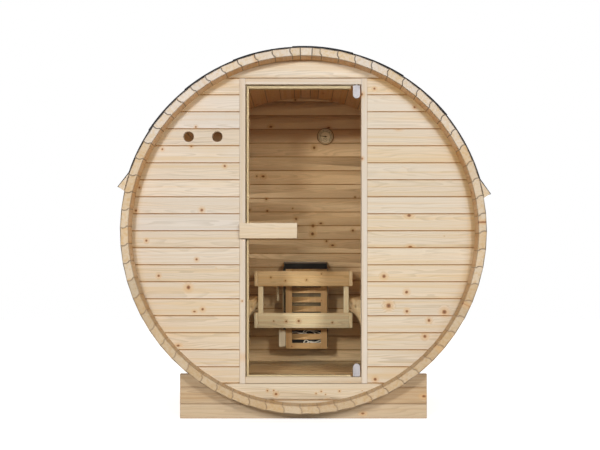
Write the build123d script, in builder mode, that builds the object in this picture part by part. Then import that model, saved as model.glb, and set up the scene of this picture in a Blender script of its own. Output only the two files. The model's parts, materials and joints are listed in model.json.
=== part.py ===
"""Barrel sauna: a short lying barrel of spruce staves on two cradles, with a glass door.

Millimetres. The front faces -Y, +X is right as seen from the front and +Z is up. The origin
lies on the ground, under the middle of the barrel.
"""

import os
from math import cos, radians, sin, sqrt, tan

from build123d import *

os.makedirs("parts", exist_ok=True)

# Barrel
LENGTH = 1600.0
OUTER_R = 950.0
STAVE_T = 42.0
INNER_R = OUTER_R - STAVE_T
CLOSING_START = -4.04
CLOSING_ANGLES = (3.06, 3.75, 2.71)
FULL_STAVES = 62
STAVE_ANGLE = (360.0 - sum(CLOSING_ANGLES)) / FULL_STAVES
CORNER_R = OUTER_R / cos(radians(STAVE_ANGLE / 2))
GROUND_GAP = 43.0
AXIS_Z = GROUND_GAP + CORNER_R
LINING_R = INNER_R - 0.6

# End walls, set in a groove ploughed across the staves
WALL_T = 42.0
RECESS = 120.0
BOARD = 90.0
GROOVE_DEPTH = 12.0
WALL_R = INNER_R + GROOVE_DEPTH - 2.0
FRONT_Y = -LENGTH / 2 + RECESS
ROOM_Y = -FRONT_Y - WALL_T
ROOM_END = ROOM_Y - 0.5

# Door frame
FRAME_W = 676.0
FRAME_BOTTOM = 190.5
FRAME_TOP = 1804.5
FRAME_PROUD = 6.0
FRAME_DEPTH = 60.0
JAMB = 31.0
SILL = 34.5
HEAD = 31.5
DOOR_GAP = 6.0

# Room
FLOOR_TOP = 190.0
BENCH_TOP = 612.0
BENCH_FRONT = 286.0
BENCH_NEAR = -160.0


def polar(angle, radius, along=0.0):
    """A point of the cross-section: angle clockwise from the top, radius from the barrel's
    axis, and a step along the circumference, also clockwise."""
    turn = radians(angle)
    return (radius * sin(turn) + along * cos(turn), radius * cos(turn) - along * sin(turn))


def write(node, name):
    node.part.label = name
    export_step(node.part, f"parts/{name}.step")


# Staves
BEAD_DEPTH = 16.0
BEAD_BULGE = 4.0
SHOULDER_DEPTH = 34.0
SHOULDER_STEP = 7.0
JOINT_GAP = 0.8


def joint_line(angle, shift, beaded=True):
    """A stave's joint from the outside in. A beaded one has an outer arris, the belly of the
    bead, a shoulder and an inner arris; a plain one only runs straight in."""
    step = SHOULDER_STEP if beaded else 0.0
    inner_corner = CORNER_R * INNER_R / OUTER_R
    return (
        polar(angle, CORNER_R, shift),
        polar(angle, OUTER_R - BEAD_DEPTH, shift - BEAD_BULGE if beaded else shift),
        polar(angle, OUTER_R - SHOULDER_DEPTH, shift + step),
        polar(angle, inner_corner, shift + step),
    )


def joint_edges(line, beaded):
    if beaded:
        ThreePointArc(line[0], line[1], line[2])
        Line(line[2], line[3])
    else:
        Line(line[0], line[3])


def make_stave(width_angle, left_beaded=True, right_beaded=True):
    """One stave at the top of the barrel, about the barrel's own axis."""
    left = joint_line(-width_angle / 2, JOINT_GAP / 2, left_beaded)
    right = joint_line(width_angle / 2, -JOINT_GAP / 2, right_beaded)
    with BuildPart() as stave:
        with BuildSketch(Plane.XZ):
            with BuildLine():
                Line(left[0], right[0])
                joint_edges(right, right_beaded)
                Line(right[3], left[3])
                joint_edges(left, left_beaded)
            make_face()
        extrude(amount=LENGTH / 2, both=True)
        wall_mid = ROOM_Y + WALL_T / 2
        with Locations((0, -wall_mid, INNER_R), (0, wall_mid, INNER_R)):
            Box(2 * BOARD, WALL_T + 1, 2 * GROOVE_DEPTH, mode=Mode.SUBTRACT)
    return stave.part


full_stave = make_stave(STAVE_ANGLE)
closing_staves = (
    make_stave(CLOSING_ANGLES[0], right_beaded=False),
    make_stave(CLOSING_ANGLES[1], left_beaded=False, right_beaded=False),
    make_stave(CLOSING_ANGLES[2], left_beaded=False),
)
crown_end = CLOSING_START + sum(CLOSING_ANGLES)
full_angles = [crown_end + STAVE_ANGLE * (n + 0.5) for n in range(FULL_STAVES)]

STAVE_GROUPS = {
    "staves_upper_right": (2, 10),
    "staves_right": (10, 18),
    "staves_lower_right": (18, 26),
    "staves_bottom": (26, 36),
    "staves_lower_left": (36, 44),
    "staves_left": (44, 52),
    "staves_upper_left": (52, 60),
}


def on_barrel(angle):
    return Location((0, 0, AXIS_Z), (0, angle, 0))


for group_name, (first, last) in STAVE_GROUPS.items():
    with BuildPart() as stave_group:
        with Locations(*[on_barrel(a) for a in full_angles[first:last]]):
            add(full_stave)
    write(stave_group, group_name)

with BuildPart() as staves_top:
    with Locations(*[on_barrel(a) for a in full_angles[:2] + full_angles[-2:]]):
        add(full_stave)
    turned = CLOSING_START
    for width, closing_stave in zip(CLOSING_ANGLES, closing_staves):
        with Locations(on_barrel(turned + width / 2)):
            add(closing_stave)
        turned += width
write(staves_top, "staves_top")


# End walls of tongued boards, one on another
BOARD_GAP = 1.0
BOARD_CHAMFER = 2.0
TONGUE_H = 9.0
TONGUE_T = 13.0
TONGUE_PLAY = 0.5
FULL_ROWS = 16
FULL_ROWS_LOW = 278.5
BELOW_FRAME = FRAME_BOTTOM + 2.0
ABOVE_FRAME = FRAME_TOP + 2.0
full_joints = [FULL_ROWS_LOW + n * BOARD for n in range(FULL_ROWS + 1)]
front_joints = [BELOW_FRAME - BOARD, BELOW_FRAME] + full_joints + [ABOVE_FRAME]
front_courses = [BELOW_FRAME - 2 * BOARD] + front_joints + [AXIS_Z + WALL_R]
TOP_ROW = len(front_courses) - 2
BACK_ROWS = 19
BACK_ROWS_LOW = 170.5
back_joints = [BACK_ROWS_LOW + n * BOARD for n in range(BACK_ROWS + 1)]
back_courses = [BACK_ROWS_LOW - BOARD - 10.0] + back_joints + [AXIS_Z + WALL_R]
VENT_ROW = 16
VENT_R = 28.0
VENT_X = (-608.0, -456.0)
VENT_Z = 1497.0


def block(x_from, x_to, y_from, y_to, z_from, z_to, mode=Mode.ADD):
    with Locations(((x_from + x_to) / 2, (y_from + y_to) / 2, (z_from + z_to) / 2)):
        Box(abs(x_to - x_from), abs(y_to - y_from), abs(z_to - z_from), mode=mode)


def barrel_inside(radius, y_from, y_to):
    """Keeps what lies within a radius of the barrel's axis."""
    with Locations(Location((0, (y_from + y_to) / 2, AXIS_Z), (90, 0, 0))):
        Cylinder(radius, abs(y_to - y_from), mode=Mode.INTERSECT)


def board_section(y_mid, courses, row):
    """A board's section in the YZ plane: chamfered arrises, a tongue on top and its groove
    below."""
    low = courses[row] + BOARD_GAP / 2
    high = courses[row + 1] - BOARD_GAP / 2
    half = WALL_T / 2
    with Locations((y_mid, (low + high) / 2)):
        Rectangle(WALL_T, high - low)
    chamfer(vertices(), BOARD_CHAMFER)
    if row < len(courses) - 2:
        with Locations((y_mid, high)):
            Rectangle(TONGUE_T, 2 * TONGUE_H)
    if row > 0:
        socket = TONGUE_H + BOARD_GAP + TONGUE_PLAY
        with Locations((y_mid, low)):
            Rectangle(TONGUE_T + 2 * TONGUE_PLAY, 2 * socket, mode=Mode.SUBTRACT)


def wall_boards(courses, rows, x_from, x_to, y_mid):
    """Boards of the given rows from x_from to x_to, cut round to sit in the groove."""
    with BuildPart() as boards:
        for row in rows:
            with BuildSketch(Plane.YZ.offset(x_from)):
                board_section(y_mid, courses, row)
            extrude(amount=x_to - x_from)
        barrel_inside(WALL_R, y_mid - WALL_T, y_mid + WALL_T)
    return boards


FRONT_MID = FRONT_Y + WALL_T / 2
SHADOW_GAP = 2.5
SIDE_ROWS = range(2, TOP_ROW)
WALL_END = FRAME_W / 2 + 0.5

left_rows = [row for row in SIDE_ROWS if row != VENT_ROW]
front_wall_left = wall_boards(front_courses, left_rows, -WALL_R, -WALL_END, FRONT_MID)
write(front_wall_left, "front_wall_left")
front_wall_right = wall_boards(front_courses, SIDE_ROWS, WALL_END, WALL_R, FRONT_MID)
write(front_wall_right, "front_wall_right")
front_wall_top = wall_boards(front_courses, [TOP_ROW], -WALL_R, WALL_R, FRONT_MID)
write(front_wall_top, "front_wall_top")
front_wall_bottom = wall_boards(front_courses, [0, 1], -WALL_R, WALL_R, FRONT_MID)
with front_wall_bottom:
    cut_low = FRAME_BOTTOM - SHADOW_GAP
    block(-WALL_END, WALL_END, FRONT_Y, FRONT_Y + WALL_T, cut_low, FRAME_BOTTOM + BOARD, Mode.SUBTRACT)
write(front_wall_bottom, "front_wall_bottom")
back_rows = range(len(back_courses) - 1)
back_wall = wall_boards(back_courses, back_rows, -WALL_R, WALL_R, ROOM_Y + WALL_T / 2)
write(back_wall, "back_wall")

with BuildPart() as vent_board:
    with BuildSketch(Plane.YZ.offset(-WALL_R)):
        board_section(FRONT_MID, front_courses, VENT_ROW)
    extrude(amount=WALL_R - WALL_END)
    barrel_inside(WALL_R, FRONT_Y - WALL_T, FRONT_Y + 2 * WALL_T)
    for vent_x in VENT_X:
        with Locations(Location((vent_x, FRONT_MID, VENT_Z), (90, 0, 0))):
            Cylinder(VENT_R, 2 * WALL_T, mode=Mode.SUBTRACT)
write(vent_board, "vent_board")


# Door frame
FRAME_FRONT = FRONT_Y - FRAME_PROUD
FRAME_BACK = FRAME_FRONT + FRAME_DEPTH
OPEN_X = FRAME_W / 2 - JAMB
OPEN_LOW = FRAME_BOTTOM + SILL
OPEN_HIGH = FRAME_TOP - HEAD
ARRIS = 2.0
PIN_X = 281.0
PIN_R = 6.0
PIN_PLAY = 0.1
PIN_SEAT = 14.0
GLASS_FRONT = FRAME_FRONT + 6.0
GLASS_T = 8.0
GLASS_MID = GLASS_FRONT + GLASS_T / 2

for side, name in ((-1, "door_jamb_left"), (1, "door_jamb_right")):
    with BuildPart() as jamb:
        block(side * OPEN_X, side * FRAME_W / 2, FRAME_FRONT, FRAME_BACK, FRAME_BOTTOM + 0.2, FRAME_TOP - 0.2)
        chamfer(jamb.edges().filter_by(Axis.Z), ARRIS)
    write(jamb, name)

for name, low, high, seat_z in (
    ("door_sill", FRAME_BOTTOM + 0.2, OPEN_LOW, OPEN_LOW),
    ("door_head", OPEN_HIGH, FRAME_TOP - 0.2, OPEN_HIGH),
):
    with BuildPart() as rail:
        block(-OPEN_X + 0.2, OPEN_X - 0.2, FRAME_FRONT, FRAME_BACK, low, high)
        chamfer(rail.edges().filter_by(Axis.X), ARRIS)
        with Locations((PIN_X, GLASS_MID, seat_z)):
            Cylinder(PIN_R + PIN_PLAY, 2 * PIN_SEAT, mode=Mode.SUBTRACT)
    write(rail, name)

# Stops behind the glass; the top and bottom ones end short of the hinges
STOP_Y = GLASS_FRONT + GLASS_T + 6.0
STOP_END = PIN_X - 30.0
STOP_SIDE = 17.0
STOP_TOP = 19.0
STOP_LOW = 9.0
STOP_GROOVE = 6.8
STOP_GROOVE_DEPTH = 20.0
with BuildPart() as door_stops:
    block(-OPEN_X + 0.3, -OPEN_X + STOP_SIDE, STOP_Y, FRAME_BACK, OPEN_LOW + 0.3, OPEN_HIGH - 0.3)
    stop_start = -OPEN_X + STOP_SIDE + 0.4
    block(stop_start, STOP_END, STOP_Y, FRAME_BACK, OPEN_HIGH - STOP_TOP, OPEN_HIGH - 0.3)
    block(stop_start, STOP_END, STOP_Y, FRAME_BACK, OPEN_LOW + 0.3, OPEN_LOW + STOP_LOW)
    groove_end = STOP_Y + STOP_GROOVE_DEPTH
    block(-OPEN_X, -OPEN_X + STOP_GROOVE, STOP_Y, groove_end, OPEN_LOW, OPEN_HIGH, Mode.SUBTRACT)
    block(-OPEN_X, STOP_END, STOP_Y, groove_end, OPEN_HIGH - STOP_GROOVE, OPEN_HIGH, Mode.SUBTRACT)
write(door_stops, "door_stops")

# Glass door, hung on two patch hinges that turn in the head and the sill
GLASS_X = OPEN_X - DOOR_GAP
GLASS_LOW = OPEN_LOW + 5.5
GLASS_HIGH = OPEN_HIGH - 8.0
PATCH_W = 37.0
PATCH_H = 67.0
PATCH_T = 6.0
PATCH_GAP_LOW = 3.0
PATCH_GAP_HIGH = 6.0
NOTCH_W = 20.0
NOTCH_H = 26.0
with BuildPart() as door_glass:
    block(-GLASS_X, GLASS_X, GLASS_FRONT, GLASS_FRONT + GLASS_T, GLASS_LOW, GLASS_HIGH)
    for z in (GLASS_LOW, GLASS_HIGH):
        with Locations((PIN_X, GLASS_MID, z)):
            Box(NOTCH_W + 2, 2 * GLASS_T, 2 * NOTCH_H + 2, mode=Mode.SUBTRACT)
    fillet(door_glass.edges().filter_by(Axis.Y).group_by(Axis.X)[0], 4.0)
write(door_glass, "door_glass")


def patch_hinge(end_z, up, gap):
    """Two D-shaped cheeks on the glass, joined through its notch, with the pivot pin."""
    cheek_mid = end_z + up * (PATCH_H - PATCH_W / 2) / 2
    tip_z = end_z + up * (PATCH_H - PATCH_W / 2)
    with BuildPart() as hinge:
        for face_y, out in ((GLASS_FRONT, -1), (GLASS_FRONT + GLASS_T, 1)):
            with BuildSketch(Plane.XZ.offset(-face_y)):
                with Locations((PIN_X, cheek_mid)):
                    Rectangle(PATCH_W, PATCH_H - PATCH_W / 2)
                with Locations((PIN_X, tip_z)):
                    Circle(PATCH_W / 2)
            extrude(amount=-out * PATCH_T)
        block(
            PIN_X - NOTCH_W / 2, PIN_X + NOTCH_W / 2, GLASS_FRONT - 1, GLASS_FRONT + GLASS_T + 1,
            end_z, end_z + up * NOTCH_H,
        )
        reach = gap + PIN_SEAT - 1
        with Locations((PIN_X, GLASS_MID, end_z - up * reach / 2)):
            Cylinder(PIN_R, reach + 2)
    return hinge


write(patch_hinge(OPEN_LOW + PATCH_GAP_LOW, 1, PATCH_GAP_LOW), "door_hinge_bottom")
write(patch_hinge(OPEN_HIGH - PATCH_GAP_HIGH, -1, PATCH_GAP_HIGH), "door_hinge_top")

# Wooden grip plates on both faces of the glass, each on two round spacers
GRIP_LEFT = -337.0
GRIP_RIGHT = -33.0
GRIP_LOW = 958.0
GRIP_HIGH = 1039.0
GRIP_T = 22.0
GRIP_STAND = 14.0
SPACER_R = 14.0
SPACER_X = (-265.0, -85.0)
INNER_GRIP_LEFT = -275.0


def grip(x_from, x_to, face_y, out):
    """A flat wooden plate that stands off a face of the glass on two spacers."""
    near = face_y + out * GRIP_STAND
    far = near + out * GRIP_T
    with BuildPart() as plate:
        block(x_from, x_to, near, far, GRIP_LOW, GRIP_HIGH)
        fillet(plate.edges(), 2.0)
        for spacer_x in SPACER_X:
            x = spacer_x if x_from < spacer_x - SPACER_R else x_from + 2 * SPACER_R
            with Locations(Location((x, (face_y + near + out) / 2, (GRIP_LOW + GRIP_HIGH) / 2), (90, 0, 0))):
                Cylinder(SPACER_R, GRIP_STAND + 1)
    return plate


write(grip(GRIP_LEFT, GRIP_RIGHT, GLASS_FRONT, -1), "door_grip_outer")
write(grip(INNER_GRIP_LEFT, GRIP_RIGHT, GLASS_FRONT + GLASS_T, 1), "door_grip_inner")

# Floor boards across the room, on two joists that follow the barrel
FLOOR_T = 28.0
FLOOR_BOARDS = 10
FLOOR_GAP = 7.0
JOIST_X = 240.0
JOIST_W = 44.0
floor_pitch = (2 * ROOM_END + FLOOR_GAP) / FLOOR_BOARDS
with BuildPart() as floor_boards:
    for n in range(FLOOR_BOARDS):
        start = -ROOM_END + n * floor_pitch
        block(-OUTER_R / 2, OUTER_R / 2, start, start + floor_pitch - FLOOR_GAP, FLOOR_TOP - FLOOR_T, FLOOR_TOP)
    chamfer(floor_boards.edges().filter_by(Axis.X).group_by(Axis.Z)[-1], ARRIS)
    barrel_inside(LINING_R, -ROOM_Y - 1, ROOM_Y + 1)
write(floor_boards, "floor_boards")

with BuildPart() as floor_joists:
    for side in (-1, 1):
        x = side * JOIST_X
        block(x - JOIST_W / 2, x + JOIST_W / 2, -ROOM_END, ROOM_END, AXIS_Z - INNER_R, FLOOR_TOP - FLOOR_T)
    barrel_inside(LINING_R, -ROOM_Y - 1, ROOM_Y + 1)
write(floor_joists, "floor_joists")

# Benches: lengthwise slats on gussets whose front edge slopes back under the seat
SLAT_T = 28.0
SLAT_GAP = 10.0
SLATS = 5
NOSE_T = 42.0
NOSE_R = 20.0
GUSSET_T = 38.0
GUSSET_SLOPE = 63.0
GUSSET_X = BENCH_FRONT + 8.0
bench_depth = sqrt(LINING_R ** 2 - (AXIS_Z - BENCH_TOP + SLAT_T) ** 2) - BENCH_FRONT
slat_pitch = (bench_depth + SLAT_GAP) / SLATS
GUSSET_TOP = BENCH_TOP - NOSE_T
GUSSET_Y = (BENCH_NEAR, (BENCH_NEAR + ROOM_END - GUSSET_T) / 2, ROOM_END - GUSSET_T)


def bench_seat(side):
    with BuildPart() as seat:
        with BuildSketch(Plane.XZ.offset(-BENCH_NEAR)):
            with Locations((side * (BENCH_FRONT + (slat_pitch - SLAT_GAP) / 2), BENCH_TOP - NOSE_T / 2)):
                Rectangle(slat_pitch - SLAT_GAP, NOSE_T)
            nose = vertices().sort_by(Axis.X, reverse=side < 0)[:2]
            fillet(nose, NOSE_R)
            for n in range(1, SLATS):
                x = BENCH_FRONT + n * slat_pitch + (slat_pitch - SLAT_GAP) / 2
                with Locations((side * x, BENCH_TOP - SLAT_T / 2)):
                    Rectangle(slat_pitch - SLAT_GAP, SLAT_T)
        extrude(amount=BENCH_NEAR - ROOM_END)
        barrel_inside(LINING_R, -ROOM_Y - 1, ROOM_Y + 1)
    return seat


def bench_gussets(side):
    """Panels that fill the space from the sloping front edge out to the staves."""
    drop = GUSSET_TOP - FLOOR_TOP + 60
    step_x = BENCH_FRONT + slat_pitch - SLAT_GAP / 2
    with BuildPart() as gussets:
        for y in GUSSET_Y:
            with BuildSketch(Plane.XZ.offset(-y)):
                with BuildLine():
                    Polyline(
                        (side * GUSSET_X, GUSSET_TOP),
                        (side * step_x, GUSSET_TOP),
                        (side * step_x, BENCH_TOP - SLAT_T),
                        (side * OUTER_R, BENCH_TOP - SLAT_T),
                        (side * OUTER_R, GUSSET_TOP - drop),
                        (side * (GUSSET_X + drop / tan(radians(GUSSET_SLOPE))), GUSSET_TOP - drop),
                        close=True,
                    )
                make_face()
            extrude(amount=-GUSSET_T)
        barrel_inside(LINING_R, -ROOM_Y - 1, ROOM_Y + 1)
    return gussets


for side, name in ((-1, "left"), (1, "right")):
    write(bench_seat(side), f"bench_seat_{name}")
    write(bench_gussets(side), f"bench_gussets_{name}")


# Heater: a steel casing hung on the back wall, open on top, with a slatted wooden screen
HEATER_X = 13.0
HEATER_W = 282.0
HEATER_BACK = ROOM_END - 25.0
HEATER_FRONT = 396.0
HEATER_LOW = 300.0
HEATER_RIM = 785.0
HEATER_BACK_TOP = 836.0
SHEET_T = 3.0
TRAY_FLOOR = 600.0
with BuildPart() as heater_casing:
    with BuildSketch(Plane.YZ.offset(HEATER_X - HEATER_W / 2)):
        with BuildLine():
            Polyline(
                (HEATER_FRONT, HEATER_LOW),
                (HEATER_BACK, HEATER_LOW),
                (HEATER_BACK, HEATER_BACK_TOP),
                (HEATER_FRONT, HEATER_RIM),
                close=True,
            )
        make_face()
    extrude(amount=HEATER_W)
    block(
        HEATER_X - HEATER_W / 2 + SHEET_T, HEATER_X + HEATER_W / 2 - SHEET_T, HEATER_FRONT + SHEET_T,
        HEATER_BACK - SHEET_T, TRAY_FLOOR, HEATER_BACK_TOP + 1, Mode.SUBTRACT,
    )
write(heater_casing, "heater_casing")

with BuildPart() as heater_brackets:
    for z in (HEATER_LOW + 60.0, HEATER_BACK_TOP - 60.0):
        block(HEATER_X - 100, HEATER_X + 100, HEATER_BACK, ROOM_END, z - 20, z + 20)
write(heater_brackets, "heater_brackets")

with BuildPart() as heater_terminal_box:
    block(-154.0, -112.0, HEATER_FRONT - 50.0, HEATER_FRONT, 304.0, 409.0)
    fillet(heater_terminal_box.edges().filter_by(Axis.Y), 4.0)
    chamfer(heater_terminal_box.faces().sort_by(Axis.Y)[0].edges(), 2.0)
write(heater_terminal_box, "heater_terminal_box")

SCREEN_X = 19.0
SCREEN_W = 259.0
SCREEN_LOW = 291.0
STILE_W = 39.0
STILE_T = 18.0
SCREEN_SLAT_H = 35.0
SCREEN_PITCH = 58.0
SCREEN_SLATS = 9
SCREEN_SLAT_T = 12.0
SCREEN_BACK = HEATER_FRONT - 24.0
SPACER_H = 40.0
with BuildPart() as heater_screen:
    high = SCREEN_LOW + (SCREEN_SLATS - 1) * SCREEN_PITCH + SCREEN_SLAT_H
    for side in (-1, 1):
        outer = SCREEN_X + side * SCREEN_W / 2
        inner = outer - side * STILE_W
        block(outer, inner, SCREEN_BACK - STILE_T, SCREEN_BACK, SCREEN_LOW, high)
        for z in (SCREEN_LOW + 2 * SCREEN_PITCH, high - SCREEN_PITCH):
            block(outer - side * 12, inner, SCREEN_BACK, HEATER_FRONT, z, z + SPACER_H)
    for n in range(SCREEN_SLATS):
        z = SCREEN_LOW + n * SCREEN_PITCH
        reach = SCREEN_W / 2 - STILE_W
        slat_back = SCREEN_BACK - (STILE_T - SCREEN_SLAT_T) / 2
        block(SCREEN_X - reach, SCREEN_X + reach, slat_back - SCREEN_SLAT_T, slat_back, z, z + SCREEN_SLAT_H)
write(heater_screen, "heater_screen")

# Guard: a front rail and two side rails at each of two heights, on two corner posts
GUARD_Y = 200.0
RAIL_T = 22.0
RAIL_H = 92.0
RAIL_X = 278.5
POST_W = 32.0
GUARD_ROWS = {"guard_rails_lower": 430.0, "guard_rails_upper": 686.0}
for name, low in GUARD_ROWS.items():
    with BuildPart() as rails:
        block(-RAIL_X, RAIL_X, GUARD_Y, GUARD_Y + RAIL_T, low, low + RAIL_H)
        for side in (-1, 1):
            near = side * (RAIL_X + 0.5)
            block(near, near + side * RAIL_T, GUARD_Y, ROOM_END, low, low + RAIL_H)
        chamfer(rails.edges(), ARRIS)
    write(rails, name)

with BuildPart() as guard_posts:
    top = GUARD_ROWS["guard_rails_upper"] + RAIL_H
    for side in (-1, 1):
        outer = side * RAIL_X
        front = GUARD_Y + RAIL_T
        block(outer, outer - side * POST_W, front, front + POST_W, GUARD_ROWS["guard_rails_lower"], top)
    chamfer(guard_posts.edges().filter_by(Axis.Z), ARRIS)
write(guard_posts, "guard_posts")

# Thermometer on the back wall
GAUGE_X = 143.0
GAUGE_Z = 1652.0
GAUGE_R = 54.0
GAUGE_T = 22.0
GAUGE_RIM = 9.0
with BuildPart() as thermometer_case:
    with BuildSketch(Plane.XZ.offset(-ROOM_END)):
        with Locations((GAUGE_X, GAUGE_Z)):
            Circle(GAUGE_R)
    extrude(amount=GAUGE_T)
    fillet(thermometer_case.edges().group_by(Axis.Y)[0], 6.0)
    with BuildSketch(Plane.XZ.offset(-ROOM_END + GAUGE_T)):
        with Locations((GAUGE_X, GAUGE_Z)):
            Circle(GAUGE_R - GAUGE_RIM)
    extrude(amount=-7.0, mode=Mode.SUBTRACT)
write(thermometer_case, "thermometer_case")

with BuildPart() as thermometer_dial:
    with BuildSketch(Plane.XZ.offset(-ROOM_END + GAUGE_T - 7.0)):
        with Locations((GAUGE_X, GAUGE_Z)):
            Circle(GAUGE_R - GAUGE_RIM - 0.3)
    extrude(amount=3.0)
write(thermometer_dial, "thermometer_dial")

# Cradles: three boards on edge, one on another, hollowed out to the barrel
CRADLE_W = 1314.0
CRADLE_T = 42.0
CRADLE_SET_BACK = 150.0
CRADLE_COURSES = (0.0, 78.0, 166.0, 237.0)
COURSE_GAP = 0.5
CRADLE_R = CORNER_R + 0.4
for side, name in ((-1, "cradle_front"), (1, "cradle_back")):
    mid = side * (LENGTH / 2 - CRADLE_SET_BACK - CRADLE_T / 2)
    with BuildPart() as cradle:
        for low, high in zip(CRADLE_COURSES, CRADLE_COURSES[1:]):
            start = low + COURSE_GAP if low else 0.0
            block(-CRADLE_W / 2, CRADLE_W / 2, mid - CRADLE_T / 2, mid + CRADLE_T / 2, start, high)
        chamfer(cradle.edges().filter_by(Axis.X), ARRIS)
        with Locations(Location((0, mid, AXIS_Z), (90, 0, 0))):
            Cylinder(CRADLE_R, 2 * CRADLE_T, mode=Mode.SUBTRACT)
    write(cradle, name)

# Roof: courses of bitumen shingle lapped from the eaves up; the lowest ones run out over
# wedge battens, which throw the rain clear of the staves
SHINGLE_INNER = CORNER_R + 1.7
SHINGLE_THIN = 3.0
SHINGLE_LAP = 6.5
COURSE_END_GAP = 0.02
RIDGE = (-3.5, 15.6)
RIGHT_COURSES = (15.6, 32.9, 51.1)
LEFT_COURSES = (-3.5, -22.5, -40.1, -57.0)
BATTEN_KNEE = {"left": -71.4, "right": 73.6}
BATTEN_TIP = 5.15
BATTEN_FOOT = 6.0
BATTEN_TIP_R = 987.0
DRIP_EDGE = 3.0


def roof_plane():
    return Plane((0, LENGTH / 2, AXIS_Z), x_dir=(1, 0, 0), z_dir=(0, -1, 0))


def ring_sector(angle_from, angle_to, thick_from, thick_to):
    """Part of a ring over the staves; its thickness changes evenly from one end to the other."""
    middle = (angle_from + angle_to) / 2
    inner = [polar(a, SHINGLE_INNER) for a in (angle_from, middle, angle_to)]
    outer = [
        polar(angle_from, SHINGLE_INNER + thick_from),
        polar(middle, SHINGLE_INNER + (thick_from + thick_to) / 2),
        polar(angle_to, SHINGLE_INNER + thick_to),
    ]
    with BuildLine() as outline:
        ThreePointArc(*inner)
        Line(inner[2], outer[2])
        ThreePointArc(*outer)
        Line(outer[0], inner[0])
    make_face(outline.edges())


def eave_course(angle_from, knee, tip):
    """The lowest course: round the staves as far as the knee, then straight to the drip edge."""
    middle = (angle_from + knee) / 2
    run = Vector(*tip) - Vector(*polar(knee, SHINGLE_INNER))
    along = run.normalized()
    side = 1 if knee > 0 else -1
    out = Vector(-along.Y, along.X) * side * SHINGLE_THIN
    end = Vector(*tip) + along * DRIP_EDGE
    with BuildLine() as outline:
        ThreePointArc(*[polar(a, SHINGLE_INNER) for a in (angle_from, middle, knee)])
        Line(polar(knee, SHINGLE_INNER), end)
        Line(end, end + out)
        Line(end + out, polar(knee, SHINGLE_INNER + SHINGLE_THIN))
        ThreePointArc(*[polar(a, SHINGLE_INNER + SHINGLE_THIN) for a in (knee, middle, angle_from)])
        Line(polar(angle_from, SHINGLE_INNER + SHINGLE_THIN), polar(angle_from, SHINGLE_INNER))
    make_face(outline.edges())


def batten_tip(knee):
    side = 1 if knee > 0 else -1
    return polar(knee + side * BATTEN_TIP, BATTEN_TIP_R)


def shingle_courses(edges, knee):
    step = COURSE_END_GAP if knee > 0 else -COURSE_END_GAP
    with BuildPart() as courses:
        with BuildSketch(roof_plane()):
            for start, end in zip(edges, edges[1:]):
                ring_sector(start + step, end - step, SHINGLE_THIN, SHINGLE_LAP)
            eave_course(edges[-1] + step, knee, batten_tip(knee))
        extrude(amount=LENGTH)
    return courses


write(shingle_courses(RIGHT_COURSES, BATTEN_KNEE["right"]), "shingles_right")
write(shingle_courses(LEFT_COURSES, BATTEN_KNEE["left"]), "shingles_left")
with BuildPart() as shingles_ridge:
    with BuildSketch(roof_plane()):
        ring_sector(*RIDGE, SHINGLE_LAP, SHINGLE_LAP)
    extrude(amount=LENGTH)
write(shingles_ridge, "shingles_ridge")

BATTEN_PLAY = 0.1
for side_name, knee in BATTEN_KNEE.items():
    side = 1 if knee > 0 else -1
    tip = batten_tip(knee)
    with BuildPart() as batten:
        with BuildSketch(roof_plane()):
            with BuildLine():
                start = polar(knee + side * 0.4, SHINGLE_INNER)
                foot = polar(knee + side * BATTEN_FOOT, SHINGLE_INNER)
                ThreePointArc(start, polar(knee + side * BATTEN_FOOT / 2, SHINGLE_INNER), foot)
                Line(foot, tip)
                Line(tip, start)
            make_face()
        extrude(amount=LENGTH)
    write(batten, f"eave_batten_{side_name}")

# Steel bands round the staves, each drawn up by a screw between two lugs
BAND_Y = 480.0
BAND_W = 25.0
BAND_T = 1.2
BAND_R = CORNER_R + 0.3
BAND_LOCK = 106.0
LUG_GAP = 24.0
LUG_T = 4.0
LUG_H = 22.0
SCREW_R = 4.0
SCREW_L = 70.0
for side, name in ((-1, "band_front"), (1, "band_back")):
    lock = on_barrel(BAND_LOCK)
    y = side * BAND_Y
    with BuildPart() as band:
        with BuildSketch(Plane((0, y + BAND_W / 2, AXIS_Z), x_dir=(1, 0, 0), z_dir=(0, -1, 0))):
            Circle(BAND_R + BAND_T)
            Circle(BAND_R, mode=Mode.SUBTRACT)
        extrude(amount=BAND_W)
        with Locations(lock * Location((0, y, BAND_R))):
            Box(LUG_GAP, 2 * BAND_W, 10 * BAND_T, mode=Mode.SUBTRACT)
        for lug in (-1, 1):
            with Locations(lock * Location((lug * (LUG_GAP + LUG_T) / 2, y, BAND_R + LUG_H / 2 + 0.3))):
                Box(LUG_T, BAND_W, LUG_H)
        with Locations(lock * Location((0, y, BAND_R + LUG_H - 9.0), (0, 90, 0))):
            Cylinder(SCREW_R, SCREW_L)
    write(band, name)
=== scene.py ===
import json
import math

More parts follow.
